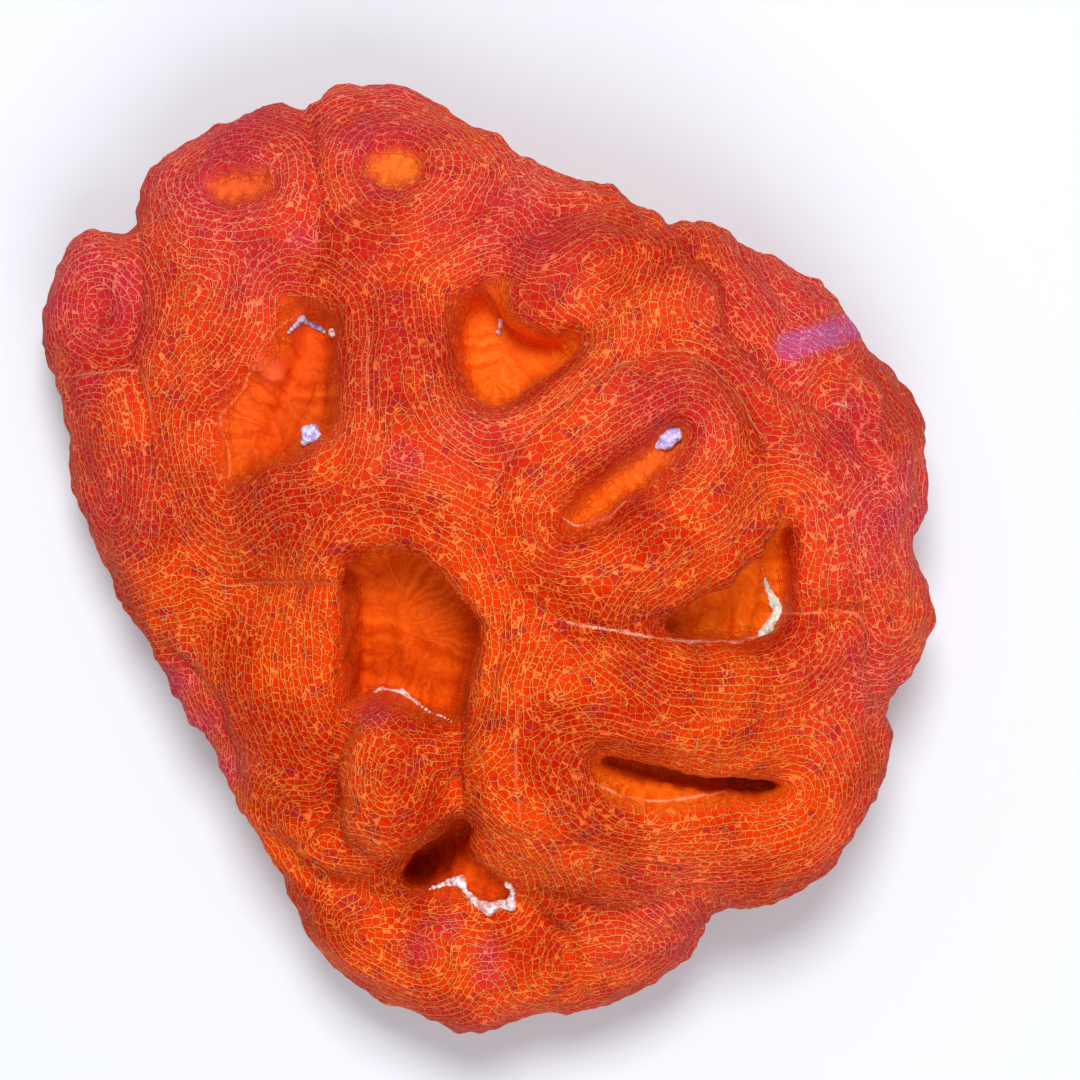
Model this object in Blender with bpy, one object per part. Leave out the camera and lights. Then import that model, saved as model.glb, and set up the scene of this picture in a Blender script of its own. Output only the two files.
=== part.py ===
"""An acan coral colony: a low dome of fleshy polyps, cut off flat under its stony foot.

The colony grew as one piece, so it is one solid. Each polyp is a swollen roll of flesh
round a sunken oral disc. Its rolls press against its neighbours' rolls, some of them lean
over a neighbour's disc, and the outermost ones hang over the narrower foot. Metres, +Z up.
The origin is under the middle of the colony, on the flat cut that it rests on.
"""

import bmesh
import bpy
import numpy as np

MM = 0.001

# Driving sizes, in millimetres
MIDDLE = (4.0, -1.0)  # where the rings of the flesh's upper skin start from
HEM = 5.2  # how far the rounding of the colony's edge reaches inwards
FLESH_OVER_FOOT = 4.2  # how far the flesh hangs out past the stony foot
FOOT_SHOWS = 2.0  # how much of the foot stands free under the flesh
LEVEL_REACH = 4.2  # how far each of the crest heights below works
CREASE_WIDTH = 2.8  # how far a roll bends down towards the crease beside it
DISC_OPENS = 0.5  # how far the discs have opened past the edges listed below
BEAD_TALL = 1.25  # a leaning roll is this much taller than it is wide
COLUMNS = 300
RINGS = 130
VOXEL = 0.4
SMOOTHING_ROUNDS = 4
MOST_TRIANGLES = 8000

# The colony's outline from above, clockwise from the notch between two polyps
OUTLINE = [
    (-12.6, 30.8), (-10.8, 32.3), (-7.7, 32.7), (-4.2, 31.7), (-1.1, 29.8), (2.0, 27.9),
    (5.1, 26.5), (8.5, 25.1), (12.5, 23.1), (15.1, 23.3), (17.8, 21.4), (20.9, 20.0),
    (24.0, 18.1), (25.9, 14.8), (28.9, 11.8), (30.0, 9.0), (29.8, 4.1), (29.2, 1.0),
    (30.6, -3.1), (29.6, -6.6), (27.4, -9.7), (27.6, -13.1), (25.9, -17.6),
    (23.4, -20.8), (19.6, -23.3), (15.2, -24.2), (14.0, -27.2), (10.6, -29.7),
    (7.2, -30.7), (3.0, -31.2), (-0.8, -32.7), (-3.9, -31.4), (-7.3, -30.4),
    (-10.1, -28.1), (-12.8, -24.8), (-14.4, -20.7), (-17.0, -17.2), (-18.7, -13.1),
    (-21.1, -9.3), (-23.2, -5.9), (-25.6, -2.1), (-27.2, 1.7), (-28.7, 5.8),
    (-29.0, 9.3), (-30.4, 13.4), (-30.6, 16.9), (-29.4, 21.2), (-27.0, 23.0),
    (-24.5, 22.9), (-23.2, 26.9), (-19.7, 29.2), (-16.3, 31.0), (-13.9, 31.4),
]  # fmt: skip

# How high the crests of the rolls stand, as (x, y, height)
CREST_LEVELS = [
    (10.2, 12.4, 25.0), (13.4, 2.7, 25.5), (2.4, 4.0, 23.5), (18.1, 9.2, 22.5),
    (7.6, -1.2, 24.0), (11.5, -9.0, 23.5), (10.9, -19.6, 21.0), (24.5, -14.0, 15.5),
    (1.7, -14.3, 22.0), (19.8, -20.1, 15.0), (-13.5, -9.2, 19.0), (-19.2, -4.0, 13.5),
    (-14.4, -17.3, 15.5), (-10.7, 2.7, 21.5), (-2.8, 2.7, 23.5), (0.4, -5.8, 22.5),
    (-6.5, 14.5, 21.5), (-22.5, 10.8, 15.0), (-27.0, 5.5, 10.5), (-18.9, 4.1, 17.5),
    (-20.4, 17.5, 15.5), (-18.0, 28.5, 12.5), (-22.1, 25.2, 11.5), (-17.0, 21.5, 16.0),
    (-12.9, 19.3, 18.5), (-6.4, 30.5, 12.5), (-2.9, 22.6, 18.5), (-8.9, 21.3, 18.0),
    (-27.4, 21.2, 10.0), (-27.3, 15.0, 10.5), (7.7, 21.3, 18.5), (5.1, 25.7, 13.0),
    (1.1, 21.9, 18.5), (11.6, 18.5, 20.0), (18.6, 20.3, 12.5), (23.4, 15.7, 11.0),
    (15.6, 15.3, 18.0), (26.8, 8.9, 11.5), (22.9, 6.0, 18.5), (21.0, 10.7, 17.0),
    (25.7, 0.1, 16.5), (22.2, 0.1, 19.5), (29.2, -2.7, 10.5), (27.1, -12.2, 11.5),
    (25.2, -6.6, 15.0), (20.8, -7.2, 20.0), (-1.0, -26.3, 13.0), (-9.2, -25.8, 11.0),
    (9.1, -26.5, 11.0), (13.2, -25.1, 11.0), (-6.4, -14.5, 16.8), (-17.5, -13.6, 9.5),
    (-23.6, -1.3, 10.0), (-26.2, 9.6, 11.0), (-12.6, -21.6, 12.0),
]  # fmt: skip

# The sunken oral discs. Each has the edge where the flesh turns down, the disc's depth
# under the crests, the width and depth of the rounded lip, and the width of the wall.
ORAL_DISCS = {
    "top_left": ([(-18.7, 25.2), (-18.2, 25.9), (-16.2, 26.3), (-14.7, 26.0),
                  (-14.3, 25.2), (-15.1, 24.5), (-16.6, 24.2), (-18.0, 24.4)],
                 2.2, 1.6, 1.2, 0.8),
    "top": ([(-7.9, 26.4), (-7.2, 27.3), (-6.0, 27.6), (-4.9, 27.3), (-4.3, 26.5),
             (-4.7, 25.5), (-5.9, 24.8), (-7.2, 25.1)], 2.2, 1.6, 1.2, 0.8),
    "left_small": ([(-27.1, 18.6), (-26.1, 18.9), (-25.5, 17.9), (-25.8, 16.6),
                    (-26.7, 16.0), (-27.3, 17.3)], 1.4, 1.8, 1.0, 0.8),
    "left": ([(-12.9, 17.0), (-12.1, 17.0), (-10.2, 16.2), (-10.1, 13.4), (-10.1, 10.7),
              (-10.4, 8.7), (-11.3, 8.4), (-12.5, 7.5), (-14.6, 6.8), (-15.9, 7.0),
              (-15.2, 9.4), (-14.2, 11.6), (-13.2, 13.8), (-12.8, 15.6)],
             5.2, 1.6, 1.2, 1.4),
    "left_slope": ([(-13.3, 17.2), (-12.3, 17.1), (-10.2, 16.2), (-10.1, 13.4),
                    (-10.1, 10.7), (-10.3, 8.6), (-11.1, 8.3), (-12.3, 7.3),
                    (-14.8, 6.3), (-17.0, 5.4), (-17.5, 7.1), (-17.7, 8.7),
                    (-17.5, 10.1), (-16.3, 11.9), (-14.7, 13.7), (-13.2, 15.5)],
                   3.0, 1.6, 1.2, 1.6),
    "middle": ([(-1.7, 17.0), (-0.4, 17.9), (1.1, 18.7), (2.4, 17.7), (4.0, 16.4),
                (6.0, 15.3), (6.4, 14.4), (4.9, 12.9), (3.1, 11.4), (1.4, 10.3),
                (0.1, 10.2), (-1.0, 11.0), (-1.6, 12.6), (-1.8, 14.9)],
               6.6, 2.0, 1.6, 1.2),
    "slit_upper": ([(5.2, 2.9), (6.0, 3.9), (7.6, 5.4), (9.3, 6.8), (11.0, 8.0),
                    (12.0, 8.8), (13.1, 9.0), (13.6, 8.2), (12.5, 6.5), (10.8, 4.8),
                    (8.8, 3.3), (6.8, 2.0), (5.6, 2.0)], 4.0, 2.4, 1.8, 0.9),
    "right": ([(19.9, 3.1), (18.7, 2.3), (17.4, 1.3), (15.6, -0.2), (13.6, -1.9),
               (11.4, -3.5), (11.6, -4.4), (14.2, -5.2), (17.2, -5.5), (19.5, -4.9),
               (20.3, -3.5), (20.5, -1.8), (20.5, 0.0), (20.5, 1.9)],
              7.0, 1.8, 1.5, 1.1),
    "slit_lower": ([(7.6, -12.6), (10.3, -13.0), (14.2, -13.8), (18.2, -14.6),
                    (20.0, -15.1), (18.1, -15.4), (14.0, -14.9), (10.2, -14.2),
                    (8.0, -13.4)], 6.2, 0.9, 0.6, 0.5),
    "slit_lower_slope": ([(7.4, -12.6), (10.3, -13.0), (14.2, -13.8), (18.2, -14.6),
                          (20.1, -15.1), (17.6, -15.6), (15.3, -15.9), (13.0, -16.1),
                          (10.6, -16.0), (8.8, -15.2), (7.7, -13.8)], 2.4, 2.2, 1.2, 1.4),
    "deep_pit": ([(-9.1, -2.6), (-8.9, -0.4), (-7.9, 1.0), (-6.4, 2.0), (-4.6, 2.0),
                  (-2.6, 0.4), (-1.4, -1.2), (-0.4, -3.8), (-0.5, -5.9), (-1.1, -7.5),
                  (-1.4, -9.6), (-2.1, -11.0), (-3.1, -10.6), (-4.9, -10.2),
                  (-7.1, -9.2), (-8.9, -10.0), (-9.3, -9.2), (-9.4, -5.9)],
                 8.6, 1.7, 1.5, 1.5),
    "bottom": ([(-5.3, -21.6), (-5.4, -20.2), (-4.4, -19.1), (-2.8, -18.2),
                (-1.7, -17.1), (-0.6, -18.3), (-1.1, -19.4), (-2.0, -20.5),
                (-3.2, -21.4), (-4.2, -21.9)],
               8.0, 1.4, 1.0, 1.0),
    "bottom_slope": ([(-5.2, -21.9), (-4.9, -20.4), (-3.8, -19.6), (-2.1, -18.8),
                      (-1.2, -17.7), (-0.2, -18.4), (0.9, -19.7), (1.9, -21.6),
                      (1.3, -22.9), (-0.1, -22.9), (-1.4, -22.4), (-3.1, -22.3)],
                     3.2, 1.6, 1.0, 2.4),
}  # fmt: skip

# The creases where one roll of flesh meets the next, as (x, y, depth)
CREASES = {
    "top_left_and_top": [(-12.3, 30.7, 3.0), (-11.7, 27.6, 2.2), (-11.4, 24.3, 1.8),
                         (-11.4, 20.9, 1.6), (-12.3, 18.2, 2.0)],
    "left_small_edge": [(-24.2, 23.2, 3.0), (-23.6, 20.4, 2.0), (-23.7, 17.0, 1.8),
                        (-24.6, 14.1, 1.8), (-27.1, 13.2, 1.6), (-29.8, 12.8, 1.8)],
    "left_outer_line": [(-24.5, 14.1, 1.8), (-23.7, 11.9, 1.0), (-23.1, 9.2, 0.8),
                        (-22.6, 5.5, 0.5)],
    "top_left_under": [(-23.3, 20.2, 1.6), (-20.4, 18.6, 0.9), (-16.4, 18.6, 0.9),
                       (-14.0, 18.8, 1.0)],
    "top_under": [(-11.3, 20.7, 1.6), (-9.0, 19.5, 0.8), (-5.6, 19.7, 0.7),
                  (-2.3, 21.6, 1.0), (-0.2, 24.3, 1.6), (2.2, 27.1, 2.4)],
    "left_and_middle": [(-8.2, 19.3, 0.5), (-7.6, 14.9, 0.4), (-7.5, 10.0, 0.5),
                        (-6.3, 7.9, 0.7)],
    "slit_upper_ring": [(-6.2, 7.8, 0.7), (-2.8, 7.2, 0.9), (0.4, 5.5, 1.6),
                        (1.4, 7.2, 1.6), (3.7, 9.4, 1.0), (6.1, 11.3, 1.2),
                        (10.0, 13.7, 1.6), (13.8, 14.1, 1.5), (16.7, 11.9, 1.3),
                        (18.6, 8.5, 1.2), (19.1, 5.3, 1.6), (19.8, 3.2, 2.5)],
    "slit_upper_foot": [(0.4, 5.5, 1.6), (0.1, 2.7, 1.3), (0.9, -0.6, 1.3),
                        (3.0, -2.9, 1.5), (5.7, -4.1, 1.8), (8.6, -4.5, 1.7),
                        (11.4, -4.5, 2.4)],
    "slit_lower_edge": [(0.9, -0.6, 1.2), (1.1, -5.2, 1.0), (-0.1, -8.8, 1.4),
                        (-1.7, -10.9, 2.6), (-1.9, -14.4, 3.4), (-1.5, -17.1, 4.0),
                        (-0.4, -18.5, 4.2), (1.2, -20.3, 3.4), (2.6, -21.6, 2.0),
                        (4.6, -22.6, 1.5), (6.3, -23.3, 1.2), (8.4, -23.9, 1.0),
                        (11.6, -23.3, 0.9), (14.6, -23.2, 1.4)],
    "bottom_right_valley": [(2.2, -21.6, 1.0), (3.2, -23.3, 1.6), (5.1, -25.7, 1.6),
                            (6.8, -29.8, 1.4)],
    "right_and_slit_lower": [(20.2, -4.0, 2.0), (22.9, -3.4, 1.2), (25.2, -3.4, 1.1),
                             (26.0, -5.2, 1.1), (26.0, -7.7, 1.3), (26.8, -9.4, 2.0)],
    "over_bottom_left": [(-14.3, -19.1, 2.4), (-12.4, -20.6, 3.2), (-9.0, -21.8, 3.4),
                         (-5.2, -21.7, 4.4)],
    "upper_right_edge": [(12.3, 22.9, 3.4), (14.4, 20.4, 3.0), (16.1, 18.4, 3.0),
                         (16.4, 15.9, 2.8), (18.7, 13.1, 3.4), (21.1, 10.8, 3.0),
                         (24.1, 10.1, 2.2), (25.6, 8.1, 1.6)],
    "upper_right_inner": [(18.0, 19.6, 1.6), (20.2, 17.2, 2.4), (20.2, 14.6, 2.4)],
    "right_small_top": [(25.7, 14.1, 2.8), (23.8, 12.3, 2.4), (21.3, 10.9, 2.8)],
    "right_small_disc": [(23.4, 9.4, 0.8), (25.0, 7.6, 2.2), (26.6, 6.4, 1.6)],
    "low_fold": [(-22.6, -4.4, 1.0), (-19.9, -8.1, 1.8), (-17.4, -12.2, 2.0),
                 (-15.6, -16.2, 1.2)],
    "deep_pit_top": [(-19.2, -0.9, 0.5), (-15.6, -1.6, 0.8), (-9.3, -1.8, 1.2)],
    "pit_lobe_left": [(-9.2, -9.6, 3.4), (-9.9, -13.3, 3.0), (-10.8, -16.9, 2.6),
                      (-12.6, -18.9, 2.4), (-14.0, -19.6, 2.2)],
    "middle_lobe_left": [(-0.3, 17.6, 0.8), (1.4, 20.4, 1.8), (4.6, 22.7, 1.9),
                         (8.2, 24.3, 1.4)],
    "middle_lobe_right": [(6.4, 15.0, 1.2), (8.2, 17.0, 2.0), (10.6, 19.2, 2.0),
                          (13.2, 20.8, 1.4)],
    "slit_lower_right": [(26.9, -10.7, 2.0), (25.8, -9.3, 1.4), (24.5, -8.7, 0.8)],
}  # fmt: skip

# The rolls that lean over what is beside them, as (x, y, half width), and how far each
# lifts above the crests around it
LEANING_ROLLS = {
    "middle_lobe": ([(8.4, 21.0, 1.6), (6.7, 20.0, 2.5), (4.9, 18.7, 2.8),
                     (3.3, 17.4, 2.7)], 0.6),
    "middle_lobe_side": ([(7.8, 18.4, 1.5), (6.2, 17.3, 2.0), (4.6, 16.7, 2.4)], -0.1),
    "pit_lobe": ([(-5.8, -12.9, 3.4), (-5.9, -14.6, 4.0), (-6.3, -16.4, 3.6)], 2.7),
    "pit_lobe_small": ([(-10.9, -18.9, 2.1), (-9.0, -19.3, 2.6), (-6.9, -19.3, 2.3)],
                       0.8),
    "over_deep_pit": ([(-8.6, 2.0, 1.7), (-6.3, 2.7, 1.9), (-3.8, 2.2, 1.9),
                       (-1.6, 0.5, 1.8), (0.2, -2.0, 1.6)], -0.5),
    "over_right_disc": ([(10.2, -2.5, 2.2), (13.4, -0.2, 2.5), (16.4, 2.2, 2.5),
                         (18.6, 4.6, 2.3)], -0.9),
    "over_bottom_disc": ([(1.0, -18.4, 2.3), (4.0, -20.4, 2.4), (7.7, -21.8, 2.4),
                          (11.7, -21.2, 2.3)], -1.4),
    "over_slit_lower": ([(6.8, -10.4, 2.1), (10.8, -11.0, 2.4), (15.2, -11.9, 2.4),
                         (19.4, -12.8, 2.1)], -0.9),
}  # fmt: skip


def smooth_line(points, step, closed):
    """Points a step apart along the Catmull-Rom curve through the given ones."""
    points = np.array(points)
    count = len(points)
    found = []
    for i in range(count if closed else count - 1):
        ends = np.arange(i - 1, i + 3)
        ends = ends % count if closed else ends.clip(0, count - 1)
        a, b, c, d = points[ends]
        pieces = max(1, round(np.hypot(*(c - b)[:2]) / step))
        t = (np.arange(pieces) / pieces)[:, None]
        found.append(
            0.5 * (2 * b + (c - a) * t + (2 * a - 5 * b + 4 * c - d) * t**2
                   + (3 * b - a - 3 * c + d) * t**3)
        )  # fmt: skip
    if not closed:
        found.append(points[-1:])
    return np.concatenate(found)


def even_loop(outline, count):
    """The closed outline as a number of evenly spaced points."""
    loop = smooth_line(outline, 0.2, True)
    loop = np.concatenate([loop, loop[:1]])
    steps = np.hypot(*np.diff(loop, axis=0).T)
    along = np.concatenate([[0], steps.cumsum()])
    wanted = np.linspace(0, along[-1], count, endpoint=False)
    return np.stack([np.interp(wanted, along, loop[:, k]) for k in (0, 1)], axis=1)


def to_line(places, line, closed):
    """Each place's distance from a line in plan, and the line's third value there."""
    ends = np.concatenate([line, line[:1]]) if closed else line
    away = np.full(len(places), np.inf)
    value = np.zeros(len(places))
    for a, b in zip(ends, ends[1:]):
        along = b[:2] - a[:2]
        share = ((places - a[:2]) @ along / (along @ along + 1e-12)).clip(0, 1)
        apart = np.hypot(*(places - a[:2] - share[:, None] * along).T)
        nearer = apart < away
        away[nearer] = apart[nearer]
        if len(a) > 2:
            value[nearer] = (a[2] + share * (b[2] - a[2]))[nearer]
    return away, value


def outside_by(places, outline):
    """Each place's distance from a closed outline, which is negative inside it."""
    away = to_line(places, outline, True)[0]
    inside = np.zeros(len(places), bool)
    x, y = places.T
    for a, b in zip(outline, np.roll(outline, -1, axis=0)):
        crosses = (a[1] > y) != (b[1] > y)
        rise = b[1] - a[1] if b[1] != a[1] else 1.0
        inside ^= crosses & (x < a[0] + (y - a[1]) / rise * (b[0] - a[0]))
    return np.where(inside, -away, away)


def rounded(away, width, depth):
    """How far a swollen edge has sunk at a distance from the line that it turns down at."""
    near = 1 - (away / width).clip(0, 1)
    return depth * (1 - np.sqrt(1 - near**2))


def crest_height(places):
    """The height of the rolls' crests over each place."""
    levels = np.array(CREST_LEVELS)
    apart = ((places[:, None, :] - levels[None, :, :2]) ** 2).sum(axis=2)
    nearest = apart.min(axis=1, keepdims=True)
    weight = np.exp((nearest - apart) / (2 * LEVEL_REACH**2))
    return weight @ levels[:, 2] / weight.sum(axis=1)


def skin_height(places, outline):
    """The height of the flesh's upper skin: the crests, less the hem, creases and discs."""
    drops = [rounded(-outside_by(places, outline), HEM, HEM)]
    for crease in CREASES.values():
        away, depth = to_line(places, smooth_line(crease, 0.6, False), False)
        drops.append(rounded(away, CREASE_WIDTH, 1.0) * depth)
    for edge, depth, lip_width, lip_depth, wall in ORAL_DISCS.values():
        away = outside_by(places, smooth_line(edge, 0.5, True)) - DISC_OPENS
        sunk = (-away / wall).clip(0, 1)
        sunk = sunk * sunk * (3 - 2 * sunk)
        drops.append(rounded(away, lip_width, lip_depth) + (depth - lip_depth) * sunk)
    return crest_height(places) - (np.array(drops) ** 3).sum(axis=0) ** (1 / 3)


def body(outline):
    """The colony without its leaning rolls, as points and faces, closed all round."""
    shares = np.cos(np.pi / 2 * np.arange(RINGS) / RINGS)
    middle = np.array(MIDDLE)
    places = (middle + (outline - middle) * shares[:, None, None]).reshape(-1, 2)
    top = skin_height(places, outline)
    edge = np.tile(top[:COLUMNS], RINGS)
    inwards = -outside_by(places, outline)
    under = FOOT_SHOWS + rounded(inwards, FLESH_OVER_FOOT, 1.0) * (edge - FOOT_SHOWS)
    under[inwards > FLESH_OVER_FOOT] = -2.0
    upper = np.column_stack([places, top])
    lower = np.column_stack([places, under])[COLUMNS:]
    points = np.concatenate([upper, lower])
    first = np.arange(COLUMNS)
    after = np.roll(first, -1)
    faces = []
    loops = [first + COLUMNS * k for k in range(2 * RINGS - 1)]
    upper_loops = loops[:RINGS]
    lower_loops = loops[:1] + loops[RINGS:]
    for a, b in zip(upper_loops, upper_loops[1:]):
        faces += np.stack([a, b, b[after], a[after]], axis=1).tolist()
    for a, b in zip(lower_loops, lower_loops[1:]):
        faces += np.stack([a, a[after], b[after], b], axis=1).tolist()
    faces.append(upper_loops[-1].tolist())
    faces.append(lower_loops[-1][::-1].tolist())
    return points, faces


def ball():
    """A round bead of unit size."""
    bm = bmesh.new()
    bmesh.ops.create_icosphere(bm, subdivisions=3, radius=1.0)
    points = np.array([v.co[:] for v in bm.verts])
    faces = np.array([[v.index for v in f.verts] for f in bm.faces])
    bm.free()
    return points, faces


def leaning_rolls():
    """The points and faces of the rolls that lean over, each a run of swollen beads."""
    bead, bead_faces = ball()
    points, faces, count = [], [], 0
    for crest, lift in LEANING_ROLLS.values():
        line = smooth_line(crest, 0.6, False)
        tops = crest_height(line[:, :2]) + lift
        for (x, y, half_width), top in zip(line, tops):
            size = np.array([half_width, half_width, half_width * BEAD_TALL])
            points.append(bead * size + (x, y, top - size[2]))
            faces += (bead_faces + count).tolist()
            count += len(bead)
    return np.concatenate(points), faces


def fused(shells):
    """The mesh of all the shells grown together into one skin, smoothed and thinned."""
    points, faces, count = [], [], 0
    for shell_points, shell_faces in shells:
        points.append(shell_points)
        faces += [[i + count for i in face] for face in shell_faces]
        count += len(shell_points)
    raw = bpy.data.meshes.new("raw")
    raw.from_pydata(np.concatenate(points) * MM, [], faces)
    lump = bpy.data.objects.new("lump", raw)
    bpy.context.scene.collection.objects.link(lump)
    remesh = lump.modifiers.new("fuse", "REMESH")
    remesh.mode = "VOXEL"
    remesh.voxel_size = VOXEL * MM
    smooth = lump.modifiers.new("swell", "SMOOTH")
    smooth.factor = 0.5
    smooth.iterations = SMOOTHING_ROUNDS
    graph = bpy.context.evaluated_depsgraph_get()
    whole = lump.evaluated_get(graph).to_mesh()
    thin = lump.modifiers.new("thin", "DECIMATE")
    thin.ratio = MOST_TRIANGLES / (2 * len(whole.polygons))
    graph = bpy.context.evaluated_depsgraph_get()
    mesh = bpy.data.meshes.new_from_object(lump.evaluated_get(graph))
    bpy.data.objects.remove(lump)
    return mesh


def cut_flat(bm):
    """Cuts the foot off at the ground and closes the cut."""
    everything = bm.verts[:] + bm.edges[:] + bm.faces[:]
    bmesh.ops.bisect_plane(
        bm, geom=everything, dist=1e-7, plane_co=(0, 0, 0), plane_no=(0, 0, 1),
        clear_inner=True,
    )  # fmt: skip
    rim = [e for e in bm.edges if e.is_boundary]
    bmesh.ops.contextual_create(bm, geom=rim)
    bmesh.ops.triangulate(bm, faces=bm.faces[:])
    bmesh.ops.recalc_face_normals(bm, faces=bm.faces[:])


def centre_in_plan(bm):
    """Moves the colony so that the middle of its box is over the origin."""
    points = np.array([v.co[:] for v in bm.verts])
    middle = (points.min(axis=0) + points.max(axis=0)) / 2
    bmesh.ops.translate(bm, verts=bm.verts[:], vec=(-middle[0], -middle[1], 0))


def flesh_material():
    """Wet orange-red coral flesh."""
    material = bpy.data.materials.new("coral_flesh")
    material.use_nodes = True
    shader = material.node_tree.nodes["Principled BSDF"]
    shader.inputs["Base Color"].default_value = (0.78, 0.075, 0.012, 1)
    shader.inputs["Roughness"].default_value = 0.45
    shader.inputs["Metallic"].default_value = 0.0
    return material


def make_colony():
    """The whole colony as one object."""
    outline = even_loop(OUTLINE, COLUMNS)
    mesh = fused([body(outline), leaning_rolls()])
    bm = bmesh.new()
    bm.from_mesh(mesh)
    cut_flat(bm)
    centre_in_plan(bm)
    mesh.clear_geometry()
    bm.to_mesh(mesh)
    bm.free()
    mesh.name = "coral_colony"
    mesh.materials.append(flesh_material())
    mesh.shade_smooth()
    colony = bpy.data.objects.new("coral_colony", mesh)
    bpy.context.scene.collection.objects.link(colony)
    return colony


def clear_scene():
    """Removes whatever the scene starts with."""
    for old in list(bpy.data.objects):
        bpy.data.objects.remove(old)


clear_scene()
make_colony()
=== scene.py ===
"""An acan coral colony, as it looks lying on its cut foot under a soft light from above.

The sections follow the colony as it is put together: the view and the light, the flesh
with its folds, discs and skin, and then the small things that lie in the discs, with a
painted reflection at one disc's edge.
"""

import bmesh
import bpy
import numpy as np
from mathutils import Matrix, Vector, noise
from mathutils.bvhtree import BVHTree


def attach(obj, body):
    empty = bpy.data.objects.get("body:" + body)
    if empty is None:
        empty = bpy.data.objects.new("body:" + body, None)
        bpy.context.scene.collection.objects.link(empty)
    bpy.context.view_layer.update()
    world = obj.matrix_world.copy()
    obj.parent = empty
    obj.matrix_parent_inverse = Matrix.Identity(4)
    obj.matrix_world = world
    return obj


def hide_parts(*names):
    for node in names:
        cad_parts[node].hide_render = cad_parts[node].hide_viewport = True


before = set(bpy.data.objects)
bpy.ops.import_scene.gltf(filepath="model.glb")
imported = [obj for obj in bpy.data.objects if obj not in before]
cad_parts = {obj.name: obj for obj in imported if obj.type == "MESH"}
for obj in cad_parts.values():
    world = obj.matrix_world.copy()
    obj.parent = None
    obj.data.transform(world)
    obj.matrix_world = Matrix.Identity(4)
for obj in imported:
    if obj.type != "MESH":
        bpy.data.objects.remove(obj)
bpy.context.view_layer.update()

# The view
# The colony is looked at from straight above, from 300 mm up, which is about how strongly
# the grid's bars showed their sides. The frame is 76.2 mm wide at the ground.
view_height = 0.300
frame_width = 0.0762
sensor_width = 36.0
camera = bpy.data.objects.new("camera", bpy.data.cameras.new("camera"))
camera.data.sensor_width = sensor_width
camera.data.lens = sensor_width * view_height / frame_width
camera.data.clip_start = 0.01
camera.location = (0.0037, 0.0014, view_height)
bpy.context.scene.collection.objects.link(camera)
bpy.context.scene.camera = camera
bpy.context.scene.view_settings.view_transform = "Standard"


# The floor and the light
# A plain pale floor, with a large soft lamp on the far side, as over a shop's tank, so
# that each disc's far wall is in shade and its near wall is lit, and a weak one opposite.
def to_linear(code):
    """The linear colour of an sRGB hex code."""
    parts = [int(code[i : i + 2], 16) / 255 for i in (1, 3, 5)]
    curve = [p / 12.92 if p <= 0.04045 else ((p + 0.055) / 1.055) ** 2.4 for p in parts]
    return (*curve, 1.0)


def add_node(tree, kind, inputs=None, **settings):
    """A new node with its settings made and its inputs filled in or linked."""
    node = tree.nodes.new(kind)
    for name, value in settings.items():
        setattr(node, name, value)
    for key, value in (inputs or {}).items():
        if isinstance(value, bpy.types.NodeSocket):
            tree.links.new(value, node.inputs[key])
        else:
            node.inputs[key].default_value = value
    return node


bm = bmesh.new()
bmesh.ops.create_grid(bm, x_segments=1, y_segments=1, size=0.8)
floor_mesh = bpy.data.meshes.new("floor")
bm.to_mesh(floor_mesh)
bm.free()
floor = bpy.data.objects.new("floor", floor_mesh)
bpy.context.scene.collection.objects.link(floor)
paper = bpy.data.materials.new("matt_paper")
paper.use_nodes = True
paper_shader = paper.node_tree.nodes["Principled BSDF"]
paper_shader.inputs["Base Color"].default_value = to_linear("#D9DCE2")
paper_shader.inputs["Roughness"].default_value = 0.9
floor_mesh.materials.append(paper)

for name, place, size, power in (
    ("lamp_far", (0.0, 0.26, 0.56), 0.24, 3.1),
    ("lamp_near", (0.10, -0.40, 0.50), 0.50, 2.2),
):
    lamp = bpy.data.objects.new(name, bpy.data.lights.new(name, "AREA"))
    lamp.data.shape = "DISK"
    lamp.data.size = size
    lamp.data.energy = power
    lamp.location = place
    lamp.rotation_euler = (-Vector(place)).to_track_quat("-Z", "Y").to_euler()
    bpy.context.scene.collection.objects.link(lamp)
sky = bpy.data.worlds.new("sky")
sky.use_nodes = True
sky.node_tree.nodes["Background"].inputs["Color"].default_value = to_linear("#F8F8FF")
sky.node_tree.nodes["Background"].inputs["Strength"].default_value = 0.34
bpy.context.scene.world = sky

# The flesh
# Soft living tissue over a stony skeleton, swollen with water into rolls round each
# mouth. It grew as one skin, so it is one mesh: the solid's shape, rounded and evened to
# cells of a third of a millimetre, which its folds and ridges are then pushed out of.
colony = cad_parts["coral_colony"]
bm = bmesh.new()
bm.from_mesh(colony.data)
bmesh.ops.remove_doubles(bm, verts=bm.verts[:], dist=1e-6)
rough_mesh = bpy.data.meshes.new("coral_flesh_rough")
bm.to_mesh(rough_mesh)
bm.free()
flesh = bpy.data.objects.new("coral_flesh", rough_mesh)
bpy.context.scene.collection.objects.link(flesh)
rounding = flesh.modifiers.new("rounding", "SUBSURF")
rounding.levels = 2
rounding.render_levels = 2
evening = flesh.modifiers.new("evening", "REMESH")
evening.mode = "VOXEL"
evening.voxel_size = 0.00033
easing = flesh.modifiers.new("easing", "SMOOTH")
easing.factor = 0.5
easing.iterations = 2
graph = bpy.context.evaluated_depsgraph_get()
flesh_mesh = bpy.data.meshes.new_from_object(flesh.evaluated_get(graph))
flesh_mesh.name = "coral_flesh"
flesh.modifiers.clear()
flesh.data = flesh_mesh

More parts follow.
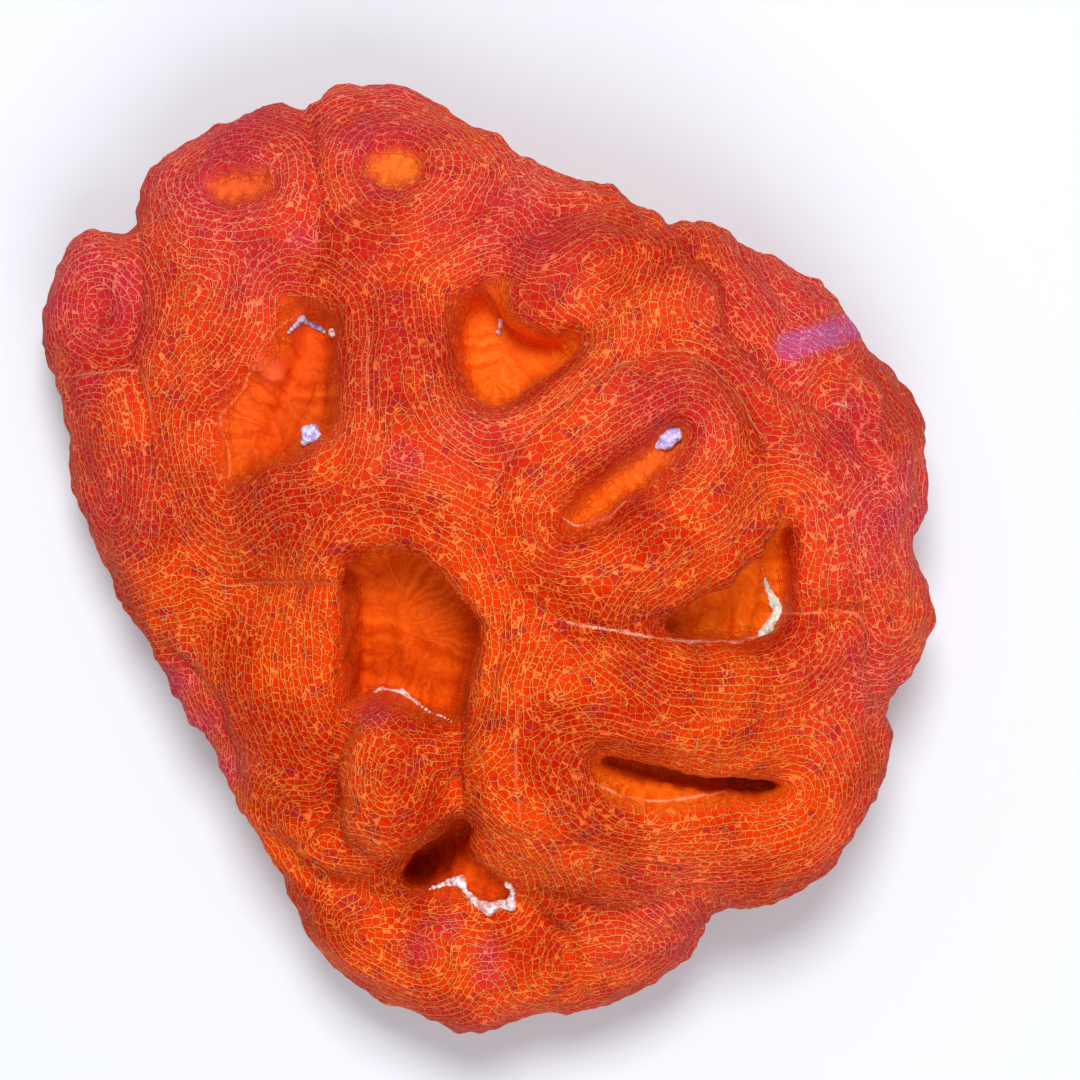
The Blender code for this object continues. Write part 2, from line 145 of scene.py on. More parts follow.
# The flat cut underneath. A little is taken off, and the new rim is set down to the floor.
cut_level = 6e-5
bm = bmesh.new()
bm.from_mesh(flesh_mesh)
everything = bm.verts[:] + bm.edges[:] + bm.faces[:]
bmesh.ops.bisect_plane(
    bm, geom=everything, dist=1e-7, plane_co=(0, 0, cut_level), plane_no=(0, 0, 1),
    clear_inner=True,
)  # fmt: skip
cut_rim = [e for e in bm.edges if e.is_boundary]
for v in {v for e in cut_rim for v in e.verts}:
    v.co.z = 0.0
bmesh.ops.contextual_create(bm, geom=cut_rim)
bmesh.ops.recalc_face_normals(bm, faces=bm.faces[:])
bm.to_mesh(flesh_mesh)
bm.free()

# The mouths' discs
# Each polyp's mouth lies in a smooth, yellower disc, made brighter by a painted glow, the
# light through thin flesh painted into the colour. Each has its edge in plan in millimetres,
# its painted glow from 0 to 1, how far in from the edge the smooth skin starts, and the
# height that it reaches up to.
disc_edges = {
    "top_left": ([(-18.7, 25.2), (-18.2, 25.9), (-16.2, 26.3), (-14.7, 26.0),
                  (-14.3, 25.2), (-15.1, 24.5), (-16.6, 24.2), (-18.0, 24.4)], 0.4, 0.15, 13.8),
    "top": ([(-7.9, 26.4), (-7.2, 27.3), (-6.0, 27.6), (-4.9, 27.3), (-4.3, 26.5),
             (-4.7, 25.5), (-5.9, 24.8), (-7.2, 25.1)], 1.0, 0.3, 15.0),
    "left_small": ([(-26.6, 18.2), (-26.0, 18.2), (-25.8, 17.4), (-26.1, 16.8),
                    (-26.6, 16.9)], 0.0, 1.8, 12.0),
    "left": ([(-13.3, 17.2), (-12.3, 17.1), (-10.2, 16.2), (-10.1, 13.4), (-10.1, 10.7),
              (-10.3, 8.6), (-11.1, 8.3), (-12.3, 7.3), (-14.8, 6.3), (-17.0, 5.4),
              (-17.5, 7.1), (-17.7, 8.7), (-17.5, 10.1), (-16.3, 11.9), (-14.7, 13.7),
              (-13.2, 15.5)], 0.25, 0.2, 19.6),
    "middle": ([(-1.7, 17.0), (-0.4, 17.9), (1.1, 18.7), (2.4, 17.7), (4.0, 16.4),
                (6.0, 15.3), (6.4, 14.4), (4.9, 12.9), (3.1, 11.4), (1.4, 10.3),
                (0.1, 10.2), (-1.0, 11.0), (-1.6, 12.6), (-1.8, 14.9)], 0.8, 0.4, 18.0),
    "slit_upper": ([(5.2, 2.9), (6.0, 3.9), (7.6, 5.4), (9.3, 6.8), (11.0, 8.0),
                    (12.0, 8.8), (13.1, 9.0), (13.6, 8.2), (12.5, 6.5), (10.8, 4.8),
                    (8.8, 3.3), (6.8, 2.0), (5.6, 2.0)], 0.55, 0.6, 23.5),
    "right": ([(19.9, 3.1), (18.7, 2.3), (17.4, 1.3), (15.6, -0.2), (13.6, -1.9),
               (11.4, -3.5), (11.6, -4.4), (14.2, -5.2), (17.2, -5.5), (19.5, -4.9),
               (20.3, -3.5), (20.5, -1.8), (20.5, 0.0), (20.5, 1.9)], 1.0, 0.7, 18.0),
    "slit_lower": ([(7.9, -13.4), (10.3, -13.9), (14.2, -14.6), (18.2, -15.2),
                    (20.1, -15.4), (17.6, -15.8), (15.3, -16.1), (13.0, -16.3),
                    (10.6, -16.2), (8.8, -15.4), (7.8, -14.2)], 0.45, 0.1, 21.0),
    "deep_pit": ([(-9.1, -2.6), (-8.9, -0.6), (-7.9, 0.4), (-6.4, 1.2), (-4.6, 1.2),
                  (-2.5, -0.2), (-1.6, -1.6), (-0.5, -4.0), (-0.5, -5.9), (-1.1, -7.5),
                  (-1.4, -9.6), (-2.1, -11.0), (-3.1, -10.6), (-4.9, -10.2),
                  (-7.1, -9.2), (-8.9, -10.0), (-9.3, -9.2), (-9.4, -5.9)], 0.3, 0.5, 18.5),
    "bottom": ([(-5.2, -21.9), (-4.9, -20.4), (-3.8, -19.6), (-2.1, -18.8),
                (-1.2, -17.7), (-0.2, -18.4), (0.9, -19.7), (1.9, -21.6), (1.3, -22.9),
                (-0.1, -22.9), (-1.4, -22.4), (-3.1, -22.3)], 0.0, 0.3, 14.0),
}  # fmt: skip

# Blunt lobes and low crests, which the rows of skin cells run round as they do a disc
crowns = {
    "middle_lobe": [(7.6, 20.2), (3.6, 17.6)],
    "pit_lobe": [(-6.2, -13.6), (-6.4, -15.0)],
    "pit_lobe_small": [(-10.4, -18.8), (-7.6, -19.2)],
    "upper_right": [(19.0, 20.4), (23.0, 16.4)],
    "left_edge": [(-26.8, 9.6), (-25.4, 3.6)],
    "bottom_left": [(-8.6, -25.6), (-5.0, -26.8)],
    "bottom_right": [(5.0, -27.4), (9.6, -26.4)],
    "right_edge": [(28.0, -3.6), (26.4, 2.6)],
    "right_small_upper": [(23.7, 10.4), (24.2, 10.2)],
    "right_small_lower": [(26.0, 8.2), (26.3, 7.9)],
}

# The lines where one polyp's flesh meets the next one's, which are narrow creases
meeting_lines = [
    [(-12.3, 30.7), (-11.7, 27.6), (-11.4, 24.3), (-11.4, 20.9), (-12.3, 18.2)],
    [(-24.2, 23.2), (-23.6, 20.4), (-23.7, 17.0), (-24.6, 14.1), (-27.1, 13.2),
     (-29.8, 12.8)],
    [(-24.5, 14.1), (-23.7, 11.9), (-23.1, 9.2), (-22.6, 5.5)],
    [(-11.3, 20.7), (-9.0, 19.5), (-5.6, 19.7), (-2.3, 21.6), (-0.2, 24.3), (2.2, 27.1)],
    [(-8.2, 19.3), (-7.6, 14.9), (-7.5, 10.0), (-6.3, 7.9)],
    [(-6.2, 7.8), (-2.8, 7.2), (0.4, 5.5), (1.4, 7.2), (3.7, 9.4), (6.1, 11.3),
     (10.0, 13.7), (13.8, 14.1), (16.7, 11.9), (18.6, 8.5), (19.1, 5.3), (19.8, 3.2)],
    [(0.4, 5.5), (0.1, 2.7), (0.9, -0.6), (3.0, -2.9), (5.7, -4.1), (8.6, -4.5),
     (11.4, -4.5)],
    [(0.9, -0.6), (1.1, -5.2), (-0.1, -8.8), (-1.7, -10.9), (-1.9, -14.4), (-1.5, -17.1),
     (-0.4, -18.5), (1.4, -20.5), (3.9, -22.3), (6.3, -23.3), (8.4, -23.9),
     (11.6, -23.3), (14.6, -23.2)],
    [(20.2, -4.0), (22.9, -3.4), (25.2, -3.4), (26.0, -5.2), (26.0, -7.7), (26.8, -9.4)],
    [(-14.3, -19.1), (-12.4, -20.6), (-9.0, -21.8), (-5.2, -21.7)],
    [(12.3, 22.9), (14.4, 20.4), (16.1, 18.4), (16.4, 15.9), (18.7, 13.1), (21.1, 10.8),
     (24.1, 10.1), (25.6, 8.1)],
    [(-19.2, -0.9), (-15.6, -1.6), (-9.3, -1.8)],
    [(-9.2, -9.6), (-9.9, -13.3), (-10.8, -16.9), (-12.6, -18.9), (-14.0, -19.6)],
    [(-0.3, 17.6), (1.4, 20.4), (4.6, 22.7), (8.2, 24.3)],
    [(6.6, 15.8), (8.2, 17.2), (10.6, 19.2), (13.2, 20.8)],
    [(2.2, -21.6), (3.2, -23.3), (5.1, -25.7), (6.8, -29.8)],
]  # fmt: skip

# Single fine folds, each with its half width and height in millimetres: those on the left
# disc, the teeth over the crescent, the loop at the right edge, two on the right disc, a
# few ribs, and two hollows, whose heights are below zero
fine_folds = [
    ([(-14.9, 13.2), (-14.0, 12.6)], 0.70, 0.60),
    ([(-17.2, 9.3), (-15.6, 9.3), (-14.4, 8.7)], 0.35, 0.35),
    ([(-16.4, 7.2), (-14.9, 7.3)], 0.35, 0.30),
    ([(-12.2, 9.0), (-11.5, 10.2), (-11.1, 11.6)], 0.35, 0.35),
    ([(-15.2, 11.0), (-13.0, 10.6)], 0.40, 0.30),
    ([(-18.4, 25.5), (-18.4, 26.4)], 0.30, 0.30),
    ([(-17.4, 25.7), (-17.3, 26.7)], 0.30, 0.34),
    ([(-16.4, 25.8), (-16.2, 26.8)], 0.30, 0.34),
    ([(-15.4, 25.6), (-15.2, 26.7)], 0.30, 0.34),
    ([(-14.5, 25.2), (-14.2, 26.1)], 0.30, 0.30),
    ([(23.7, 10.4), (24.3, 11.4), (25.4, 11.8), (26.2, 11.0), (26.4, 9.5), (26.0, 8.2),
      (26.8, 7.3), (27.3, 6.1)], 0.46, 0.44),
    ([(23.7, 10.4), (24.8, 9.2), (26.0, 8.2)], 0.46, 0.36),
    ([(16.4, -0.2), (15.7, -1.9), (15.0, -4.4)], 0.50, 0.45),
    ([(18.1, 1.2), (17.9, -1.6), (17.5, -4.4)], 0.42, 0.34),
    ([(-18.8, -1.1), (-14.0, -1.0), (-9.8, -0.9)], 0.40, 0.26),
    ([(23.6, 10.4), (23.9, 10.4)], 0.60, 0.40),
    ([(26.0, 8.3), (26.2, 8.0)], 0.60, 0.40),
    ([(19.7, 17.6), (22.4, 18.6)], 0.45, 0.26),
    ([(19.4, 16.4), (23.2, 17.4)], 0.45, 0.24),
    ([(-4.4, -3.7), (-3.3, -6.1)], 0.30, 0.25),
    ([(-7.4, -4.2), (-7.1, -8.2)], 0.45, 0.25),
    ([(-5.6, -3.0), (-5.2, -8.6)], 0.45, 0.22),
    ([(0.2, -25.7), (0.2, -28.8)], 0.70, 0.30),
    ([(-4.6, -25.4), (-4.4, -27.4)], 0.60, 0.25),
    ([(24.0, -3.0), (26.4, -2.2), (28.4, -2.4)], 0.50, 0.30),
    ([(26.6, 3.8), (28.6, 4.4)], 0.50, 0.28),
    ([(26.3, 1.6), (28.2, 1.4)], 0.50, 0.28),
    ([(26.0, -0.4), (28.4, -0.9)], 0.50, 0.28),
    ([(-1.6, -18.2), (-3.0, -19.9), (-4.4, -21.0)], 0.60, -0.60),
    ([(-21.8, -6.3), (-20.0, -7.6), (-18.4, -9.6), (-17.8, -12.0), (-17.3, -14.8)],
     0.45, -0.45),
]  # fmt: skip

# Fine pale lines along some edges, each with how strongly it shows
pale_lines = [
    ([(-7.5, 14.8), (-7.6, 12.5), (-7.4, 9.9)], 0.28),
    ([(0.8, 5.5), (2.4, 8.0), (4.2, 9.9), (6.1, 11.3), (8.3, 12.7), (10.2, 13.7),
      (12.1, 14.1), (13.9, 14.1), (16.5, 11.9), (18.6, 8.5)], 0.3),
    ([(5.7, -4.0), (7.6, -4.3), (11.3, -4.8), (14.2, -5.2), (17.1, -5.3), (19.1, -4.7)],
     0.6),
    ([(19.9, -3.4), (22.7, -3.4), (24.9, -3.4), (25.7, -4.4), (25.8, -5.8), (25.6, -7.6)],
     0.28),
    ([(2.3, -16.9), (2.0, -14.3), (2.1, -10.1), (2.9, -8.9), (4.1, -8.1), (5.7, -7.2),
      (7.2, -6.8)], 0.16),
    ([(-27.7, 12.7), (-24.0, 13.1), (-23.0, 11.9), (-22.4, 9.0)], 0.22),
    ([(-16.3, -1.5), (-12.7, -1.4), (-9.1, -1.6)], 0.22),
    ([(-13.0, 16.0), (-14.9, 14.1), (-16.3, 11.4), (-17.5, 10.1), (-17.7, 9.1), (-17.1, 7.7),
      (-17.0, 5.9)], 0.24),
    ([(7.6, -14.6), (9.3, -15.4), (11.5, -15.8), (14.2, -15.6), (16.8, -15.3)], 0.4),
    ([(5.4, 2.8), (6.3, 2.3), (7.6, 2.7), (9.3, 3.7)], 0.65),
    ([(23.5, 10.4), (24.0, 10.4)], 0.8),
    ([(25.9, 8.3), (26.3, 7.9)], 0.8),
    ([(23.7, 10.4), (24.8, 9.2), (26.0, 8.2)], 0.2),
    ([(23.7, 10.4), (24.3, 11.4), (25.4, 11.8), (26.2, 11.0), (26.4, 9.5), (26.0, 8.2),
      (26.8, 7.3), (27.3, 6.1)], 0.12),
]  # fmt: skip


def smooth_line(points, step, closed):
    """Points a step apart along the Catmull-Rom curve through the given ones."""
    points = np.array(points)
    count = len(points)
    found = []
    for i in range(count if closed else count - 1):
        ends = np.arange(i - 1, i + 3)
        ends = ends % count if closed else ends.clip(0, count - 1)
        a, b, c, d = points[ends]
        pieces = max(1, round(np.hypot(*(c - b)) / step))
        t = (np.arange(pieces) / pieces)[:, None]
        found.append(
            0.5 * (2 * b + (c - a) * t + (2 * a - 5 * b + 4 * c - d) * t**2
                   + (3 * b - a - 3 * c + d) * t**3)
        )  # fmt: skip
    found.append(points[:1] if closed else points[-1:])
    return np.concatenate(found)


def beside_line(places, line):
    """Each place's distance from a line in plan, the side of it, and how far along."""
    away = np.full(len(places), np.inf)
    side = np.ones(len(places))
    along = np.zeros(len(places))
    walked = 0.0
    for a, b in zip(line, line[1:]):
        run = b - a
        length = np.hypot(*run) + 1e-12
        share = ((places - a) @ run / length**2).clip(0, 1)
        off = places - a - share[:, None] * run
        apart = np.hypot(*off.T)
        nearer = apart < away
        away[nearer] = apart[nearer]
        side[nearer] = np.sign(run[0] * off[nearer, 1] - run[1] * off[nearer, 0])
        along[nearer] = walked + share[nearer] * length
        walked += length
    return away, side, along


def is_inside(places, line):
    """Whether each place is inside a closed line."""
    inside = np.zeros(len(places), bool)
    x, y = places.T
    for a, b in zip(line, line[1:]):
        crosses = (a[1] > y) != (b[1] > y)
        rise = b[1] - a[1] if b[1] != a[1] else 1.0
        inside ^= crosses & (x < a[0] + (y - a[1]) / rise * (b[0] - a[0]))
    return inside


count = len(flesh_mesh.vertices)
points = np.empty(count * 3, np.float32)
flesh_mesh.vertices.foreach_get("co", points)
points = points.reshape(-1, 3).astype(float) * 1000
normals = np.empty(count * 3, np.float32)
flesh_mesh.vertices.foreach_get("normal", normals)
normals = normals.reshape(-1, 3).astype(float)
plan = points[:, :2]
faces_up = normals[:, 2] > -0.3

# How far each point is outside the nearest disc's edge, and how far round that edge. The
# skin turns a little outside the drawn edge, and nothing near the foot is a disc.
turn_width = 0.3
foot_height = 4.0
far_off = 60.0
disc_away = np.full(count, far_off)
round_disc = np.zeros(count)
glow = np.zeros(count)
smooth_away = np.full(count, far_off)
for edge, brightness, inset, reach in disc_edges.values():
    line = smooth_line(edge, 0.5, True)
    away, _, along = beside_line(plan, line)
    away = np.where(is_inside(plan, line), -away, away) - turn_width
    nearer = (away < disc_away) & (points[:, 2] > foot_height)
    disc_away[nearer] = away[nearer]
    above = (points[:, 2] - reach).clip(-9, 9)
    smooth_away[nearer] = np.maximum(away + inset, above)[nearer]
    round_disc[nearer] = along[nearer]
    glow[nearer] = brightness

# How far each point is along the skin from the nearest disc's edge or lobe's crown. Each
# round carries the distances one point farther.
start_width = 0.35
crown_width = 0.4
spreading_rounds = 120
evening_rounds = 8
seeds = np.where((abs(disc_away) < start_width) & faces_up, abs(disc_away), np.inf)
for crown in crowns.values():
    away = beside_line(plan, np.array(crown))[0]
    on_crown = (away < crown_width) & (normals[:, 2] > 0.3)
    seeds = np.where(on_crown, np.minimum(seeds, away), seeds)
links = []
for face in flesh_mesh.polygons:
    ring = list(face.vertices)
    if len(ring) == 4:
        a, b, c, d = ring
        links += [(a, b), (b, c), (c, d), (d, a), (a, c), (b, d)]
links = np.array(links)
links = np.concatenate([links, links[:, ::-1]])
steps = np.linalg.norm(points[links[:, 0]] - points[links[:, 1]], axis=1)
skin_away = seeds
for _ in range(spreading_rounds):
    before = skin_away.copy()
    np.minimum.at(skin_away, links[:, 1], before[links[:, 0]] + steps)
skin_away[~np.isfinite(skin_away)] = 40.0
met = np.bincount(links[:, 1], minlength=count).clip(1)
for _ in range(evening_rounds):
    mean = np.bincount(links[:, 1], skin_away[links[:, 0]], count) / met
    skin_away = 0.5 * skin_away + 0.5 * mean

# How far each point is from the nearest meeting line, and from the nearest pale line,
# whose side is the distance's sign, so that the line itself lies between two points
meeting = np.full(count, far_off)
for line in meeting_lines:
    meeting = np.minimum(meeting, beside_line(plan, smooth_line(line, 0.5, False))[0])
pale_away = np.full(count, far_off)
pale_strength = np.zeros(count)
for line, strength in pale_lines:
    away, side, _ = beside_line(plan, smooth_line(line, 0.5, False))
    nearer = away < abs(pale_away)
    pale_away[nearer] = (away * side)[nearer]
    pale_strength[nearer] = strength


# The folds
# Water pressure swells the flesh unevenly: slow swellings, low ripples that run round
# each mouth, finer pimples, and ridges down each disc's wall over the septa, the
# skeleton's blades. Every push is a height in millimetres along the skin's normal.
def rise(value, low, high):
    """0 below low, 1 above high, and smooth between."""
    share = ((value - low) / (high - low)).clip(0, 1)
    return share * share * (3 - 2 * share)


def bumps(size, shift):
    """Smooth noise between about -1 and 1, with bumps of a size in millimetres."""
    return np.array([noise.noise(Vector(p) / size + shift) for p in points])


slow = bumps(7.0, Vector((3, 1, 7)))
middling = bumps(2.4, Vector((11, 5, 2)))
pimples = bumps(0.9, Vector((4, 9, 1)))
outside = rise(disc_away, 0.3, 1.6)
row_wander = skin_away + 1.3 * slow + 0.25 * middling

# How steeply the rows' distance climbs along the skin, by which the walls keep their width
safe_steps = steps.clip(0.05)
toward = (points[links[:, 1]] - points[links[:, 0]]) / safe_steps[:, None]
climb = (row_wander[links[:, 1]] - row_wander[links[:, 0]]) / safe_steps
slope = [np.bincount(links[:, 0], climb * toward[:, i], count) for i in range(3)]
steepness = 2 * np.linalg.norm(slope, axis=0) / met

ripple_length = 1.04
roll_length = 3.7
septum_spacing = 1.5
ripples = np.cos(2 * np.pi * row_wander / ripple_length)
rolls = np.cos(2 * np.pi * row_wander / roll_length + 1.0)
septa = np.cos(2 * np.pi * (round_disc + 0.9 * middling) / septum_spacing)
wall = (1 - rise(disc_away, -0.2, 0.9)) * rise(disc_away, -3.6, -1.4)
edge_on = (1 - normals[:, 2].clip(0, 1)) * rise(disc_away, 2.0, 4.0)
push = 0.30 * slow + 0.20 * middling + 0.07 * pimples
push = push + edge_on * (0.22 * middling + 0.22 * bumps(1.5, Vector((7, 2, 8))))
push = push + edge_on * 0.16 * pimples
push = push + (0.05 * ripples + 0.10 * rolls) * outside * (0.5 + 0.9 * middling)
push = push + 0.07 * septa * wall * (0.6 + 1.2 * slow)
crease_width = 0.40
push = push - 0.34 * np.exp(-((meeting / crease_width) ** 2)) * outside
for line, half_width, tall in fine_folds:
    away = beside_line(plan, smooth_line(line, 0.4, False))[0]
    push = push + tall * np.exp(-((away / half_width) ** 2)) * faces_up

# The deep pit runs back a little under the roll over its upper end
cave_line = [
    (-8.7, -0.6), (-7.7, 0.6), (-6.3, 1.3), (-4.8, 1.3), (-2.9, 0.0), (-1.6, -1.8),
]  # fmt: skip
cave_width = 1.3
cave_away = beside_line(plan, smooth_line(cave_line, 0.4, False))[0]
under_roll = 1 - rise(points[:, 2], 16.5, 19.5)
push = push - 0.9 * np.exp(-((cave_away / cave_width) ** 2)) * under_roll

# The bare foot keeps the solid's shape
push = push * rise(points[:, 2], 1.6, 3.2)
points = points + normals * push[:, None]
flesh_mesh.vertices.foreach_set("co", (points / 1000).astype(np.float32).ravel())
flesh_mesh.update()
flesh_mesh.shade_smooth()

# Where the flesh is flushed with crimson: spots in plan with a radius and a strength, and
# a little over the upper half. All round the hem the crimson is painted sheen, the pinkish
# reflection along the grazing edges painted into the colour.
flushed = [
    (-18.0, 27.0, 8.0, 0.75), (-7.0, 29.0, 5.5, 0.7), (-27.0, 18.5, 5.5, 0.85),
    (2.0, 23.5, 6.5, 0.6), (12.0, 9.5, 5.0, 0.45), (21.0, 16.5, 7.0, 0.6),
    (28.5, 3.0, 6.0, 0.75), (27.0, -8.0, 5.0, 0.5), (-26.0, 4.0, 4.5, 0.4),
    (13.5, -26.0, 5.0, 0.45), (-16.0, 20.0, 4.5, 0.5), (0.0, 8.5, 3.5, 0.4),
    (-12.4, 21.9, 1.7, 0.9), (-5.2, 6.7, 1.4, 0.8), (0.2, -26.6, 0.9, 0.8),
    (0.2, -28.0, 0.9, 0.8), (-4.5, -26.4, 1.1, 0.6), (-2.6, -24.7, 0.9, 0.6),
    (24.5, 8.5, 4.0, 0.6), (-21.2, -8.4, 1.7, 1.0), (-19.4, -11.2, 1.7, 1.0),
    (-18.0, -14.2, 1.5, 0.9), (-14.4, 12.9, 0.9, 1.0), (-7.4, -9.9, 1.1, 0.8),
]  # fmt: skip
# Round the hem: painted sheen, a pinkish reflection along the grazing edges
hem = np.hypot((plan[:, 0] - 1.0) / 29.5, (plan[:, 1] + 0.5) / 31.5)
flush_and_rim_sheen = 0.36 * rise(hem, 0.88, 1.05)
flush_and_rim_sheen = np.maximum(flush_and_rim_sheen, 0.14 * rise(plan[:, 1], -6.0, 14.0))
for x, y, radius, strength in flushed:
    apart = np.hypot(plan[:, 0] - x, plan[:, 1] - y)
    flush_and_rim_sheen = np.maximum(flush_and_rim_sheen, strength * np.exp(-((apart / radius) ** 2)))
flush_and_rim_sheen = (flush_and_rim_sheen * (1 + 0.5 * middling)).clip(0, 1)

# A straight violet band crosses the flesh at the upper right
violet_line = np.array([(20.4, 14.3), (24.6, 15.8)])
violet = 1 - rise(beside_line(plan, violet_line)[0], 0.4, 1.3)

# The material reads all of these at each point
for name, values in (
    ("row_wander", row_wander),
    ("row_slope", steepness.clip(0.12, 1.2)),
    ("smooth_away", smooth_away),
    ("round_disc", round_disc),
    ("glow", glow),
    ("pale_away", pale_away.clip(-2, 2)),
    ("pale_strength", pale_strength),
    ("flush_and_rim_sheen", flush_and_rim_sheen),
    ("violet", violet * faces_up),
):
    layer = flesh_mesh.attributes.new(name, "FLOAT", "POINT")
    layer.data.foreach_set("value", values.astype(np.float32))


# The flesh's colour and skin
# Living coral tissue with a fluorescent orange-red pigment. Its skin is a net of raised
# pale walls, about 0.1 mm wide, round cells of half a millimetre, set in rows that run
# round each mouth. The discs are smooth and yellower.
row_spacing = 0.52
cell_length = 0.54
skin = bpy.data.materials.new("living_coral_tissue")
skin.use_nodes = True
tree = skin.node_tree
shader = tree.nodes["Principled BSDF"]
place = add_node(tree, "ShaderNodeTexCoord")
in_mm = add_node(
    tree, "ShaderNodeMapping", {"Vector": place.outputs["Object"], "Scale": (1000,) * 3}
).outputs["Vector"]
read = {}
for name in (
    "row_wander", "row_slope", "smooth_away", "round_disc", "glow", "pale_away",
    "pale_strength", "flush_and_rim_sheen", "violet",
):  # fmt: skip
    read[name] = add_node(tree, "ShaderNodeAttribute", attribute_name=name).outputs["Fac"]


def add_math(operation, *values):
    """The result of a sum in the flesh's material."""
    node = add_node(
        tree, "ShaderNodeMath", dict(enumerate(values)), operation=operation
    )
    return node.outputs[0]


def add_noise(per_mm, detail):
    """Noise with a number of bumps in a millimetre."""
    node = add_node(
        tree, "ShaderNodeTexNoise", {"Vector": in_mm, "Scale": per_mm, "Detail": detail}
    )
    return node.outputs["Fac"]


def add_rise(value, low, high, to_low=0.0, to_high=1.0):
    """to_low below low, to_high above high, and smooth between."""
    node = add_node(
        tree, "ShaderNodeMapRange",
        {"Value": value, "From Min": low, "From Max": high, "To Min": to_low,
         "To Max": to_high}, interpolation_type="SMOOTHSTEP",
    )  # fmt: skip
    return node.outputs["Result"]


def add_mix(share, first, second):
    """first turned into second by a share."""
    node = add_node(
        tree, "ShaderNodeMix", {0: share, 6: first, 7: second}, data_type="RGBA"
    )
    return node.outputs[2]


# Three sizes of unevenness, which the pattern and the colours share
patches = add_noise(0.16, 2.0)
blotches = add_noise(0.75, 2.0)
grain = add_noise(3.0, 2.0)

# The net: a wall between two rows, and walls round the cells of each row, whose pattern is
# shifted from row to row so that no wall runs on into the next row
wander = add_math("MULTIPLY_ADD", blotches, 0.20, read["row_wander"])
wander = add_math("MULTIPLY_ADD", grain, 0.05, wander)
rows = add_math("DIVIDE", wander, row_spacing)
row = add_math("FLOOR", rows)
to_row = add_math("MULTIPLY", add_math("PINGPONG", rows, 0.5), row_spacing)
to_row = add_math("DIVIDE", to_row, read["row_slope"])
shift = add_node(
    tree, "ShaderNodeVectorMath", {0: (17.1, 5.3, 9.7), "Scale": row}, operation="SCALE"
).outputs["Vector"]
row_place = add_node(
    tree, "ShaderNodeVectorMath", {0: in_mm, 1: shift}, operation="ADD"
).outputs["Vector"]
cells = add_node(
    tree, "ShaderNodeTexVoronoi",
    {"Vector": row_place, "Scale": 1 / cell_length, "Randomness": 0.8},
    feature="DISTANCE_TO_EDGE",
)  # fmt: skip
to_cell = add_math("MULTIPLY", cells.outputs["Distance"], cell_length)
row_wall = add_rise(to_row, 0.012, 0.074, 1.0, 0.0)
cell_wall = add_rise(to_cell, 0.010, 0.058, 0.8, 0.0)
net = add_math("MAXIMUM", row_wall, cell_wall)
smooth_disc = add_rise(
    add_math("MULTIPLY_ADD", blotches, -1.6, read["smooth_away"]), -1.9, -0.5
)
net_shown = add_math("MULTIPLY", smooth_disc, add_rise(patches, 0.34, 0.60, 0.55, 0.95))
net_shown = add_math("MULTIPLY", net, net_shown)

# The flesh's ground runs from deep red to warm orange-red, with crimson blotches
deep = to_linear("#B41000")
warm = to_linear("#DE3000")
violet_share = add_math(
    "MULTIPLY", read["violet"], add_rise(blotches, 0.3, 0.6, 0.5, 0.95)
)
ground = add_mix(add_rise(patches, 0.36, 0.62), deep, warm)
ground = add_mix(add_rise(blotches, 0.55, 0.67, 0.0, 0.75), ground, to_linear("#961228"))
ground = add_mix(add_rise(grain, 0.40, 0.75, 0.0, 0.30), ground, to_linear("#EC4E04"))
# The crimson flush, which round the hem is painted sheen
ground = add_mix(read["flush_and_rim_sheen"], ground, to_linear("#BA2038"))
ground = add_mix(violet_share, ground, to_linear("#BC4878"))
wall_colour = add_mix(read["flush_and_rim_sheen"], to_linear("#FF8838"), to_linear("#FF7870"))
wall_colour = add_mix(violet_share, wall_colour, to_linear("#E888C0"))
flesh_colour = add_mix(net_shown, ground, wall_colour)

# The smooth discs, with faint spokes that run in from their edge
spokes = add_node(
    tree, "ShaderNodeTexNoise",
    {"W": add_math("MULTIPLY_ADD", blotches, 1.4, read["round_disc"]), "Scale": 1.5,
     "Detail": 2.0}, noise_dimensions="1D",
)  # fmt: skip
spoke = add_rise(add_math("MULTIPLY_ADD", grain, 0.5, spokes.outputs["Fac"]), 0.45, 1.05)
# Each disc goes from its dim colour to its bright one by its painted glow
dim_disc = add_mix(spoke, to_linear("#C03404"), to_linear("#E04C0A"))
bright_disc = add_mix(spoke, to_linear("#F05C02"), to_linear("#FF821A"))
disc_colour = add_mix(read["glow"], dim_disc, bright_disc)
# The discs take a little of the flush, with its painted sheen round the hem
disc_flush_and_rim_sheen = add_math("MULTIPLY", read["flush_and_rim_sheen"], 0.28)
disc_colour = add_mix(disc_flush_and_rim_sheen, disc_colour, to_linear("#F4705C"))
disc_share = add_rise(
    add_math("MULTIPLY_ADD", blotches, -1.0, read["smooth_away"]), -1.0, 0.2, 1.0, 0.0
)
colour = add_mix(disc_share, flesh_colour, disc_colour)

# The fine pale lines, broken up here and there
line_away = add_math("ABSOLUTE", add_math("MULTIPLY_ADD", grain, 0.2, read["pale_away"]))
line_shown = add_math(
    "MULTIPLY", add_rise(line_away, 0.02, 0.12, 1.0, 0.0),
    add_math(
        "MULTIPLY", add_rise(blotches, 0.36, 0.56, 0.25, 1.0),
        add_math("POWER", read["pale_strength"], 0.6),
    ),
)  # fmt: skip
line_colour = add_mix(read["pale_strength"], to_linear("#FF8048"), to_linear("#FFD4C0"))
colour = add_mix(line_shown, colour, line_colour)

# The bare limestone of the foot, which is porous
height = add_node(tree, "ShaderNodeSeparateXYZ", {0: in_mm}).outputs["Z"]
stone_share = add_rise(
    add_math("MULTIPLY_ADD", blotches, 1.6, height), 2.3, 2.9, 1.0, 0.0
)
pores = add_rise(grain, 0.34, 0.60)
stone = add_mix(pores, to_linear("#8C7E6A"), to_linear("#D8CDB8"))
colour = add_mix(stone_share, colour, stone)

